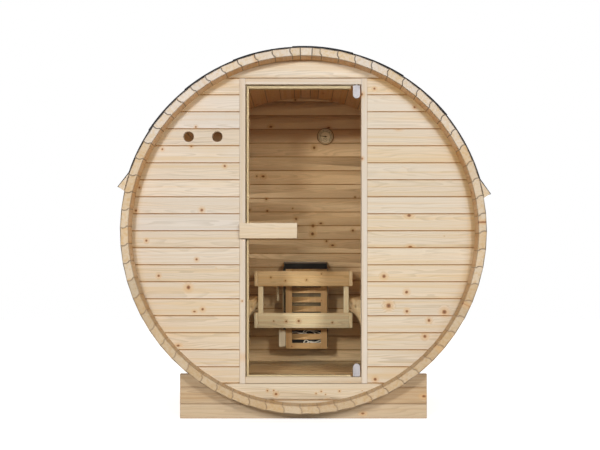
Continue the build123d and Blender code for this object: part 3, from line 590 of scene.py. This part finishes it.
glass_tree.links.new(glass_lit.outputs[0], glass_tree.nodes["Material Output"].inputs["Surface"])
glass_mesh = frame["nodes"]["door_glass"].data
glass_mesh.materials.clear()
glass_mesh.materials.append(glass)


# Door grips
# A wide wooden plate outside and a narrower one inside, of planed spruce. Both are screwed to
# round spacers that go through the glass.
for seed, node in enumerate(("door_grip_outer", "door_grip_inner")):
    sawn(node, sill_wood, 51 + seed)


# Hinges
# Two satin aluminium patch hinges clamp the glass at its right-hand corners, top and bottom.
# They turn on pins in the frame.
def metal(name, colour, roughness, lines=(60.0, 60.0, 1200.0)):
    """Rolled or brushed metal: fine lines of noise in its gloss, and faint clouding in its tone."""
    finish, tree, shader = new_finish(name)
    place = put(tree, "TexCoord", {}).outputs["Object"]
    brushed = clouds(tree, stretched(tree, place, *lines), 1.0, 2.0)
    cloudy = clouds(tree, place, 22.0, 3.0)
    dull = tuple(0.82 * c for c in colour[:3]) + (1.0,)
    tree.links.new(laid_on(tree, rising(tree, cloudy, 0.4, 0.7), colour, dull), shader.inputs["Base Color"])
    gloss = worked(tree, "MULTIPLY_ADD", brushed, 0.18, roughness)
    tree.links.new(worked(tree, "MULTIPLY_ADD", cloudy, 0.06, gloss), shader.inputs["Roughness"])
    bump = put(tree, "Bump", {"Strength": 0.08, "Distance": 0.0002, "Height": brushed})
    tree.links.new(bump.outputs[0], shader.inputs["Normal"])
    shader.inputs["Metallic"].default_value = 1.0
    return finish


def refinish(node, finish):
    """Gives a node that keeps its own shape its material."""
    mesh = frame["nodes"][node].data
    mesh.materials.clear()
    mesh.materials.append(finish)


satin = metal("satin_aluminium", tone(166, 160, 158), 0.52)
for node in ("door_hinge_top", "door_hinge_bottom"):
    refinish(node, satin)


# Floor
# Planed spruce boards laid across the barrel with gaps between them. They are screwed to two
# joists that run along it.
# The boards' and joists' very pale tone is painted light.
lit_floor_wood = spruce("lit_floor_wood", tone(248, 226, 190), tone(240, 204, 152), knot_share=0.4)
sawn("floor_boards", lit_floor_wood, 61)
sawn("floor_joists", lit_floor_wood, 62)


# Benches
# Two facing benches of lengthwise spruce slats, the front one with a rounded nose. They lie on
# gussets screwed to the staves.
fitting_wood = spruce("fitting_wood", tone(245, 223, 186), tone(236, 200, 148), FITTING_KNOTS, 0.15)
BENCH_PIECES = ("bench_seat_left", "bench_seat_right", "bench_gussets_left", "bench_gussets_right")
for seed, node in enumerate(BENCH_PIECES):
    sawn(node, fitting_wood, 71 + seed)


# Heater
# A black sheet-steel electric heater on the back wall, with an open stone tray and a pale
# enamelled terminal box beside it.
def enamel(name, colour, roughness, speck, shine=0.5):
    """Stoved paint: an orange-peel bump, with dust that greys it in patches."""
    finish, tree, shader = new_finish(name)
    place = put(tree, "TexCoord", {}).outputs["Object"]
    dust = rising(tree, clouds(tree, place, 14.0, 4.0, 0.6), 0.42, 0.75, 0.0, speck)
    dusty = tuple(0.7 * c + 0.12 for c in colour[:3]) + (1.0,)
    tree.links.new(laid_on(tree, dust, colour, dusty), shader.inputs["Base Color"])
    peel = clouds(tree, place, 700.0, 1.0)
    tree.links.new(worked(tree, "MULTIPLY_ADD", dust, 0.5, roughness), shader.inputs["Roughness"])
    bump = put(tree, "Bump", {"Strength": 0.1, "Distance": 0.0003, "Height": peel})
    tree.links.new(bump.outputs[0], shader.inputs["Normal"])
    shader.inputs["Specular IOR Level"].default_value = shine
    return finish


black_steel = enamel("black_steel", tone(24, 19, 16), 0.6, 0.03, 0.12)
refinish("heater_casing", black_steel)
refinish("heater_brackets", black_steel)
refinish("heater_terminal_box", enamel("pale_enamel", tone(226, 214, 192), 0.38, 0.25))


# Heater fittings
# A galvanised panel, darkened by painted shade behind the screen, closes the casing's front above the
# wiring. A hem is folded round the tray. A white lead loops across the casing below the panel and goes into
# it at both ends, and a twisted sensor stub leaves the casing's left side and points down.
CASING_LEFT, CASING_FRONT = (float(v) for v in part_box("heater_casing")[0][:2])
CASING_RIGHT, CASING_BACK, CASING_TOP = (float(v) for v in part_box("heater_casing")[1])
TRAY_RIM = 0.785
PANEL_LOW = 0.412
LEAD_Y = CASING_FRONT - 0.007


def made(name, points, faces, finish, slot, smooth=True):
    """A new piece from its points and faces, with one finish, fixed to the barrel."""
    mesh = bpy.data.meshes.new(name)
    mesh.from_pydata(np.asarray(points).tolist(), [], [tuple(face) for face in faces])
    mesh.polygons.foreach_set("use_smooth", np.full(len(mesh.polygons), smooth))
    mesh.set_sharp_from_angle(angle=math.radians(35.0))
    mesh.materials.append(finish)
    piece = bpy.data.objects.new(name, mesh)
    scene.collection.objects.link(piece)
    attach(piece, "root")


def lattice(rows, columns, wrap_rows=False, wrap_columns=False):
    """The quads between points set out in rows and columns, which may close on themselves."""
    down, along = np.arange(rows - (not wrap_rows)), np.arange(columns - (not wrap_columns))
    row, column = np.meshgrid(down, along, indexing="ij")
    row, column = row.ravel(), column.ravel()
    next_row, next_column = (row + 1) % rows, (column + 1) % columns
    return np.stack([row * columns + column, row * columns + next_column,
                     next_row * columns + next_column, next_row * columns + column], axis=1)


def smoothed(knots, steps):
    """A curve through the knots. Between two of them it is the cubic whose slope at each knot
    is half the way between that knot's neighbours."""
    knots = np.asarray(knots, float)
    padded = np.concatenate([2 * knots[:1] - knots[1:2], knots, 2 * knots[-1:] - knots[-2:-1]])
    share = np.linspace(0.0, 1.0, steps, endpoint=False)[:, None, None]
    before, start, end, after = padded[:-3], padded[1:-2], padded[2:-1], padded[3:]
    curve = 0.5 * (2 * start + (end - before) * share
                   + (2 * before - 5 * start + 4 * end - after) * share ** 2
                   + (3 * start - before - 3 * end + after) * share ** 3)
    return np.concatenate([curve.transpose(1, 0, 2).reshape(-1, 3), knots[-1:]])


def drawn(path, across, along_y, sides, closed=False, relief=None):
    """A rod drawn along a path that lies nearly in an upright plane. Its section is an oval,
    across wide in that plane and along_y deep, to which relief adds a share at each point."""
    count = len(path)
    if closed:
        course = np.roll(path, -1, axis=0) - np.roll(path, 1, axis=0)
    else:
        course = np.gradient(path, axis=0)
    course /= np.linalg.norm(course, axis=1)[:, None]
    side = np.stack([course[:, 2], np.zeros(count), -course[:, 0]], axis=1)
    side /= np.linalg.norm(side, axis=1)[:, None]
    angle = np.linspace(0.0, 2 * np.pi, sides, endpoint=False)
    swell = 1.0 if relief is None else 1.0 + relief(np.arange(count)[:, None], angle[None, :])[..., None]
    ring = side[:, None] * (across * np.cos(angle))[None, :, None]
    ring = ring + np.array([0.0, 1.0, 0.0]) * (along_y * np.sin(angle))[None, :, None]
    points = (path[:, None] + ring * swell).reshape(-1, 3)
    faces = lattice(count, sides, closed, True).tolist()
    if not closed:
        faces += [list(range(sides))[::-1], list(range((count - 1) * sides, count * sides))]
    return points, faces


# Painted shade: the panel's dark tone stands for the shade behind the screen.
shaded_panel_metal = metal("shaded_galvanised_sheet", tone(84, 72, 56), 0.42, (30.0, 30.0, 500.0))
PANEL_COLUMNS, PANEL_ROWS = 57, 75
panel_x = CASING_LEFT + np.linspace(0.0005, CASING_RIGHT - CASING_LEFT - 0.0005, PANEL_COLUMNS)
panel_z = np.linspace(PANEL_LOW, TRAY_RIM - 0.004, PANEL_ROWS)
inset_x = np.minimum(panel_x - panel_x[0], panel_x[-1] - panel_x)[None, :]
inset_z = np.minimum(panel_z - panel_z[0], panel_z[-1] - panel_z)[:, None]
swage = np.clip((np.minimum(inset_x, inset_z) - 0.014) / 0.006, 0.0, 1.0)
edge_roll = np.clip(1.0 - np.minimum(inset_x, inset_z) / 0.003, 0.0, 1.0) ** 2
panel_y = CASING_FRONT - 0.0022 - 0.0016 * swage ** 2 * (3 - 2 * swage) + 0.0018 * edge_roll
panel_points = np.stack([np.broadcast_to(panel_x[None, :], panel_y.shape), panel_y,
                         np.broadcast_to(panel_z[:, None], panel_y.shape)], axis=2)
made("casing_front_panel", panel_points.reshape(-1, 3), lattice(PANEL_ROWS, PANEL_COLUMNS), shaded_panel_metal,
     "heater_steel")

hem_steel = enamel("hem_steel", tone(112, 94, 78), 0.42, 0.1)
HEM_STEPS, HEM_SIDES = 12, 16


def hem_bar(name, start, end, reach):
    """A flattened hem that stands along one edge of the tray, rounded over at the top."""
    start, end = np.array(start), np.array(end)
    course = (end - start) / np.linalg.norm(end - start)
    side = np.cross(course, (0.0, 0.0, 1.0))
    side /= np.linalg.norm(side)
    up = np.cross(side, course)
    angle = np.linspace(0.0, 2 * np.pi, HEM_SIDES, endpoint=False)
    oval = up * (reach * np.cos(angle))[:, None] + side * (0.0018 * np.sin(angle))[:, None]
    steps = start + (end - start) * np.linspace(0.0, 1.0, HEM_STEPS)[:, None]
    points = (steps[:, None] + oval[None]).reshape(-1, 3)
    caps = [list(range(HEM_SIDES))[::-1], list(range((HEM_STEPS - 1) * HEM_SIDES, HEM_STEPS * HEM_SIDES))]
    faces = lattice(HEM_STEPS, HEM_SIDES, False, True).tolist() + caps
    made(name, points, faces, hem_steel, "heater_steel")


FRONT_LEFT = (CASING_LEFT + 0.0025, CASING_FRONT + 0.0015, TRAY_RIM - 0.005)
FRONT_RIGHT = (CASING_RIGHT - 0.0025, CASING_FRONT + 0.0015, TRAY_RIM - 0.005)
BACK_LEFT = (CASING_LEFT + 0.0025, CASING_BACK - 0.0035, CASING_TOP - 0.006)
BACK_RIGHT = (CASING_RIGHT - 0.0025, CASING_BACK - 0.0035, CASING_TOP - 0.006)
hem_bar("tray_hem_left", FRONT_LEFT, BACK_LEFT, 0.005)
hem_bar("tray_hem_right", FRONT_RIGHT, BACK_RIGHT, 0.005)
hem_bar("tray_hem_back", BACK_LEFT, BACK_RIGHT, 0.006)
hem_bar("tray_hem_front", FRONT_LEFT, FRONT_RIGHT, 0.005)

# Painted highlight: pale rods on the casing's front corners stand for the glint on its edges.
glint_edge = enamel("glint_edge", tone(214, 194, 162), 0.45, 0.15)
EDGE_HEIGHTS = (PANEL_LOW, 0.54, 0.66, TRAY_RIM - 0.012)
for hand, edge_x in (("left", CASING_LEFT + 0.001), ("right", CASING_RIGHT - 0.001)):
    edge_line = smoothed([(edge_x, CASING_FRONT + 0.008, z) for z in EDGE_HEIGHTS], 12)
    made("casing_edge_" + hand, *drawn(edge_line, 0.0042, 0.0095, 16), glint_edge, "heater_steel")

lead_sheath = enamel("lead_sheath", tone(236, 232, 224), 0.45, 0.1)
cream_sleeve = enamel("cream_sleeve", tone(232, 214, 180), 0.5, 0.1)
LEAD_KNOTS = [seen_at(column, row, LEAD_Y + set_back, 0.0)[:3] for column, row, set_back in (
    (290.5, 332.6, 0.010), (296.0, 332.0, 0.0), (300.5, 333.2, 0.002), (304.5, 332.6, 0.0),
    (308.5, 330.6, -0.002), (313.0, 331.6, 0.0), (315.0, 333.4, 0.003), (311.0, 334.8, 0.004),
    (306.0, 333.6, 0.003), (303.6, 331.6, 0.004), (306.5, 329.6, 0.004), (313.0, 330.6, 0.005),
    (320.0, 333.0, 0.003), (324.0, 337.0, 0.0), (318.0, 341.2, 0.0), (312.0, 342.4, 0.0),
    (308.5, 341.4, -0.001), (306.0, 339.8, 0.0), (303.8, 342.6, 0.002), (306.4, 343.2, 0.004),
    (310.5, 341.6, 0.004), (318.0, 343.0, 0.003), (324.0, 341.0, 0.010))]
made("heater_lead", *drawn(smoothed(LEAD_KNOTS, 10), 0.0034, 0.0026, 10), lead_sheath, "pale_enamel")

SENSOR_X, SENSOR_Y = -0.163, 0.45
sensor_path = smoothed([
    (CASING_LEFT + 0.004, SENSOR_Y, 0.712), (CASING_LEFT - 0.016, SENSOR_Y, 0.714),
    (SENSOR_X, SENSOR_Y, 0.694), (SENSOR_X - 0.001, SENSOR_Y, 0.66),
    (SENSOR_X + 0.001, SENSOR_Y, 0.62), (SENSOR_X, SENSOR_Y, 0.588),
], 28)


def twist(step, angle):
    """Two thick strands laid round each other, as a wave that turns with each step."""
    return 0.24 * np.cos(2 * angle + 0.52 * step)


made("sensor_stub", *drawn(sensor_path, 0.0080, 0.0076, 24, relief=twist), cream_sleeve, "pale_enamel")


# Heater screen and guard
# A slatted wooden screen before the heater. A guard of planed rails at two heights, screwed to
# two posts, keeps bathers off it.
# The screen's deep tone is painted shade, as it stands behind the guard.
shaded_screen_wood = spruce("shaded_screen_wood", tone(208, 177, 132), tone(194, 153, 102), FITTING_KNOTS, 0.1)
sawn("heater_screen", shaded_screen_wood, 81)
# The posts and lower rail take a pale copy of the fitting wood, which is painted light; the upper rail keeps
# the deeper fitting wood.
lit_guard_wood = spruce("lit_guard_wood", tone(252, 243, 215), tone(245, 219, 176), FITTING_KNOTS, 0.1)
sawn("guard_posts", lit_guard_wood, 82)
sawn("guard_rails_upper", fitting_wood, 83)
sawn("guard_rails_lower", lit_guard_wood, 84)


# Thermometer
# A turned wooden case on the back wall with two dark beads and a pale dial, which has engraved ticks, a
# pointer on a hub and a small humidity ring below. The beads are stained, and the outer one is also painted
# shade round the case's edge.
sawn("thermometer_case", fitting_wood, 91)
refinish("thermometer_dial", enamel("dial_paint", tone(232, 214, 176), 0.5, 0.2))
dial_low, dial_high = np.array(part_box("thermometer_dial"))
case_low, case_high = np.array(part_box("thermometer_case"))
DIAL_X, DIAL_Z = (float(v) for v in ((dial_low + dial_high) / 2)[[0, 2]])
DIAL_FACE_Y = float(dial_low[1])
CASE_FACE_Y = float(case_low[1])
DIAL_R = float(dial_high[0] - dial_low[0]) / 2
CASE_R = float(case_high[0] - case_low[0]) / 2


def circle(radius, y, x_off=0.0, z_off=0.0, steps=72):
    """Points round the dial's centre, or round a centre off to one side of it."""
    turn = np.linspace(0.0, 2 * np.pi, steps, endpoint=False)
    return np.stack([DIAL_X + x_off + radius * np.sin(turn), np.full(steps, y),
                     DIAL_Z + z_off + radius * np.cos(turn)], axis=1)


# Stain on both beads, and painted shade round the case's edge on the outer one.
stained_and_shaded = spruce("stained_shaded_bead", tone(98, 60, 32), tone(80, 46, 24), knot_share=0.0)
outer_bead = circle(CASE_R - 0.0022, CASE_FACE_Y + 0.0015)
inner_bead = circle(DIAL_R - 0.0006, CASE_FACE_Y + 0.001)
made("gauge_bead_outer", *drawn(outer_bead, 0.0022, 0.003, 12, True), stained_and_shaded, "gauge_wood")
made("gauge_bead_inner", *drawn(inner_bead, 0.0013, 0.0016, 12, True), stained_and_shaded, "gauge_wood")


def engraved(strokes, thick=0.0005):
    """Flat strokes on the dial's face. Each is (start radius, end radius, degrees clockwise from
    the top, width at the start, width at the end, x and z of its centre from the dial's)."""
    strokes = np.array(strokes)
    turn = np.radians(strokes[:, 2])
    out = np.stack([np.sin(turn), np.zeros(len(turn)), np.cos(turn)], axis=1)
    side = np.stack([np.cos(turn), np.zeros(len(turn)), -np.sin(turn)], axis=1)
    middle = np.stack([DIAL_X + strokes[:, 5], np.full(len(turn), DIAL_FACE_Y),
                       DIAL_Z + strokes[:, 6]], axis=1)
    corners = []
    for y in (0.0, -thick):
        for end, half in ((0, -0.5), (0, 0.5), (1, 0.5), (1, -0.5)):
            point = middle + out * strokes[:, end, None] + side * (half * strokes[:, 3 + end, None])
            corners.append(point + np.array([0.0, y, 0.0]))
    points = np.stack(corners, axis=1).reshape(-1, 3)
    block = np.array([(0, 1, 2, 3), (7, 6, 5, 4), (0, 4, 5, 1), (1, 5, 6, 2), (2, 6, 7, 3), (3, 7, 4, 0)])
    return points, (block[None] + 8 * np.arange(len(strokes))[:, None, None]).reshape(-1, 4)


ink = enamel("dial_ink", tone(24, 17, 12), 0.6, 0.0, 0.1)
HUMIDITY_DROP = -0.020
ticks = [(0.74 * DIAL_R, (0.86 if n % 5 else 0.92) * DIAL_R, -135 + 6 * n,
          0.0012, 0.0012 if n % 5 else 0.0022, 0, 0) for n in range(46)]
ticks += [(0.0085, 0.011, -120 + 24 * n, 0.0007, 0.0007, 0.0, HUMIDITY_DROP) for n in range(11)]
made("gauge_ticks", *engraved(ticks), ink, "gauge_dial", smooth=False)
scale_ring = circle(0.70 * DIAL_R, DIAL_FACE_Y - 0.0002)
humidity_ring = circle(0.0120, DIAL_FACE_Y - 0.0002, 0.0, HUMIDITY_DROP, 40)
made("gauge_scale_ring", *drawn(scale_ring, 0.0005, 0.0004, 8, True), ink, "gauge_dial")
made("gauge_humidity_ring", *drawn(humidity_ring, 0.0006, 0.0005, 8, True), ink, "gauge_dial")
hands = [(-0.010, 0.84 * DIAL_R, -84.0, 0.0048, 0.0022, 0, 0),
         (-0.004, 0.0100, 40.0, 0.0026, 0.0010, 0.0, HUMIDITY_DROP)]
made("gauge_hands", *engraved(hands, 0.0012), ink, "gauge_dial", smooth=False)
hub = circle(0.0026, DIAL_FACE_Y - 0.0012, steps=24)
made("gauge_hub", *drawn(hub, 0.0020, 0.0014, 8, True), ink, "gauge_dial")


# Screws
# Zinc-plated wood screws with countersunk heads and a cross slot, sunk just below the face:
# two through every bench slat into each gusset, and two through each floor board and joist.
BENCH_TOP, BENCH_EDGE, BENCH_REACH, SLAT_PITCH, SLAT_GAP = 0.612, 0.286, 0.80, 0.10668, 0.010
GUSSET_HALF = 0.019
GUSSET_ROWS = (-0.160 + GUSSET_HALF, 0.21975 + GUSSET_HALF, 0.5995 + GUSSET_HALF)
FLOOR_TOP, JOIST_X, FLOOR_PITCH, FLOOR_GAP, FLOOR_START = 0.190, 0.240, 0.1282, 0.007, -0.6375
SCREW_RADIUS, SCREW_SIDES, SCREW_SUNK = 0.0042, 24, 0.0003
zinc = metal("zinc_plate", tone(168, 162, 150), 0.4)


def screws(name, places, out, radius):
    """Screw heads. Each is a disc of rings that dishes a little, with a cross pressed in."""
    out = np.array(out, float)
    side = np.cross(out, (0.0, 0.0, 1.0) if abs(out[2]) < 0.9 else (1.0, 0.0, 0.0))
    side /= np.linalg.norm(side)
    up = np.cross(out, side)
    turn = np.linspace(0.0, 2 * np.pi, SCREW_SIDES, endpoint=False)
    share = np.array([0.08, 0.16, 0.3, 0.44, 0.58, 0.7, 0.86, 1.0, 1.0])
    flat_x, flat_y = share[:, None] * np.cos(turn), share[:, None] * np.sin(turn)
    crossed = (np.minimum(np.abs(flat_x), np.abs(flat_y)) < 0.13) & (share[:, None] < 0.6)
    height = np.where(crossed, -0.22, 0.02 - 0.05 * share[:, None] ** 4) + np.zeros_like(flat_x)
    height[-1] = -0.35
    head = (flat_x[..., None] * side + flat_y[..., None] * up + height[..., None] * out) * radius
    head = head.reshape(-1, 3)
    firsts = len(head) * np.arange(len(places))
    points = (np.array(places)[:, None] + head[None]).reshape(-1, 3)
    faces = lattice(len(share), SCREW_SIDES, False, True)
    rings = (faces[None] + firsts[:, None, None]).reshape(-1, 4).tolist()
    caps = (firsts[:, None] + np.arange(SCREW_SIDES)[::-1]).tolist()
    made(name, points, rings + caps, zinc, "hinge_metal")


slat_screws = [BENCH_EDGE + slat * SLAT_PITCH + (SLAT_PITCH - SLAT_GAP) * share
               for slat in range(5) for share in ((0.45, 0.8) if slat == 0 else (0.25, 0.75))]
for side, hand in ((-1, "left"), (1, "right")):
    seats = [(side * x, y, BENCH_TOP - SCREW_SUNK)
             for y in GUSSET_ROWS for x in slat_screws if x < BENCH_REACH]
    screws("bench_screws_" + hand, seats, (0, 0, 1), SCREW_RADIUS)
board_screws = [FLOOR_START + n * FLOOR_PITCH + share * (FLOOR_PITCH - FLOOR_GAP)
                for n in range(10) for share in (0.25, 0.75)]
seats = [(side * JOIST_X, y, FLOOR_TOP - SCREW_SUNK) for side in (-1, 1) for y in board_screws]
screws("floor_screws", seats, (0, 0, 1), SCREW_RADIUS)


# Cradles
# Two cradles of tongued spruce boards laid on one another and hollowed to the barrel, which
# rests in them by its weight. They stand flat on the ground.
# The cradles' deeper tone is painted shade under the barrel.
shaded_cradle_wood = spruce("shaded_cradle_wood", tone(192, 168, 136), tone(178, 144, 102), knot_share=0.5,
                     joint=tone(92, 56, 26))
sawn("cradle_front", shaded_cradle_wood, 101, outline=0.003, dirt_and_shade=0.7)
sawn("cradle_back", shaded_cradle_wood, 102, outline=0.003, dirt_and_shade=0.7)


# Roof
# Bitumen shingles with black mineral grain, nailed to the staves and lapped from the eaves up
# to a ridge course. Slots cut each course below the ridge into tabs.
TAB_WIDTH, SLOT_WIDTH = 0.32, 0.009
RIDGE_EDGE = 15.0
COURSE_EDGES = (16.0, 21.0, 33.0, 40.0, 51.0, 57.0)
COURSE_SHIFT = 0.37
shingle, shingle_tree, shingle_shader = new_finish("mineral_shingle")
roof_place = put(shingle_tree, "TexCoord", {}).outputs["Object"]
grit = put(shingle_tree, "TexVoronoi", {"Vector": roof_place, "Scale": 650.0})
grit_lot = put(shingle_tree, "SeparateColor", {0: grit.outputs["Color"]})
blotch = clouds(shingle_tree, roof_place, 9.0, 3.0)
grain_tone = laid_on(shingle_tree, rising(shingle_tree, grit_lot.outputs[0], 0.3, 0.95),
                     tone(24, 24, 26), tone(70, 70, 74))
patches = rising(shingle_tree, blotch, 0.45, 0.7, 0.0, 0.35)
weathered = laid_on(shingle_tree, patches, grain_tone, tone(54, 56, 58))
roof_x, roof_y, roof_z = put(shingle_tree, "SeparateXYZ", {0: roof_place}).outputs[:3]
above_axis = worked(shingle_tree, "SUBTRACT", roof_z, BARREL_Z)
roof_turn = worked(shingle_tree, "ABSOLUTE", worked(shingle_tree, "ARCTAN2", roof_x, above_axis))
course = 0.0
for edge in COURSE_EDGES:
    past_edge = worked(shingle_tree, "GREATER_THAN", roof_turn, math.radians(edge))
    course = worked(shingle_tree, "ADD", past_edge, course)
shift = worked(shingle_tree, "MULTIPLY", course, COURSE_SHIFT)
tab = worked(shingle_tree, "FRACT", worked(shingle_tree, "MULTIPLY_ADD", roof_y, 1.0 / TAB_WIDTH, shift))
slot_edge = worked(shingle_tree, "ABSOLUTE", worked(shingle_tree, "SUBTRACT", tab, 0.5))
in_slot = worked(shingle_tree, "LESS_THAN", slot_edge, 0.5 * SLOT_WIDTH / TAB_WIDTH)
below_ridge = worked(shingle_tree, "GREATER_THAN", roof_turn, math.radians(RIDGE_EDGE))
slot_line = worked(shingle_tree, "MULTIPLY", in_slot, below_ridge)
slot_share = worked(shingle_tree, "MULTIPLY", slot_line, 0.8)
slotted = laid_on(shingle_tree, slot_share, weathered, tone(14, 14, 15))
shingle_tree.links.new(slotted, shingle_shader.inputs["Base Color"])
shingle_shader.inputs["Roughness"].default_value = 0.88
shingle_shader.inputs["Specular IOR Level"].default_value = 0.15
grit_bump = put(shingle_tree, "Bump", {"Strength": 0.6, "Distance": 0.0012, "Height": grit_lot.outputs[1]})
shingle_tree.links.new(grit_bump.outputs[0], shingle_shader.inputs["Normal"])
for node in ("shingles_ridge", "shingles_left", "shingles_right"):
    refinish(node, shingle)


# Eave battens
# A wedge-shaped spruce batten along each eave, nailed to the staves under the last course,
# which throws the rain clear of them.
for seed, node in enumerate(("eave_batten_left", "eave_batten_right")):
    sawn(node, stave_wood, 111 + seed)


# Bands
# Two bands of stainless strip round the staves, which hold the barrel together. A screw
# between its lugs draws each one tight.
strip = metal("stainless_strip", tone(200, 198, 192), 0.28, (40.0, 900.0, 40.0))
refinish("band_front", strip)
refinish("band_back", strip)
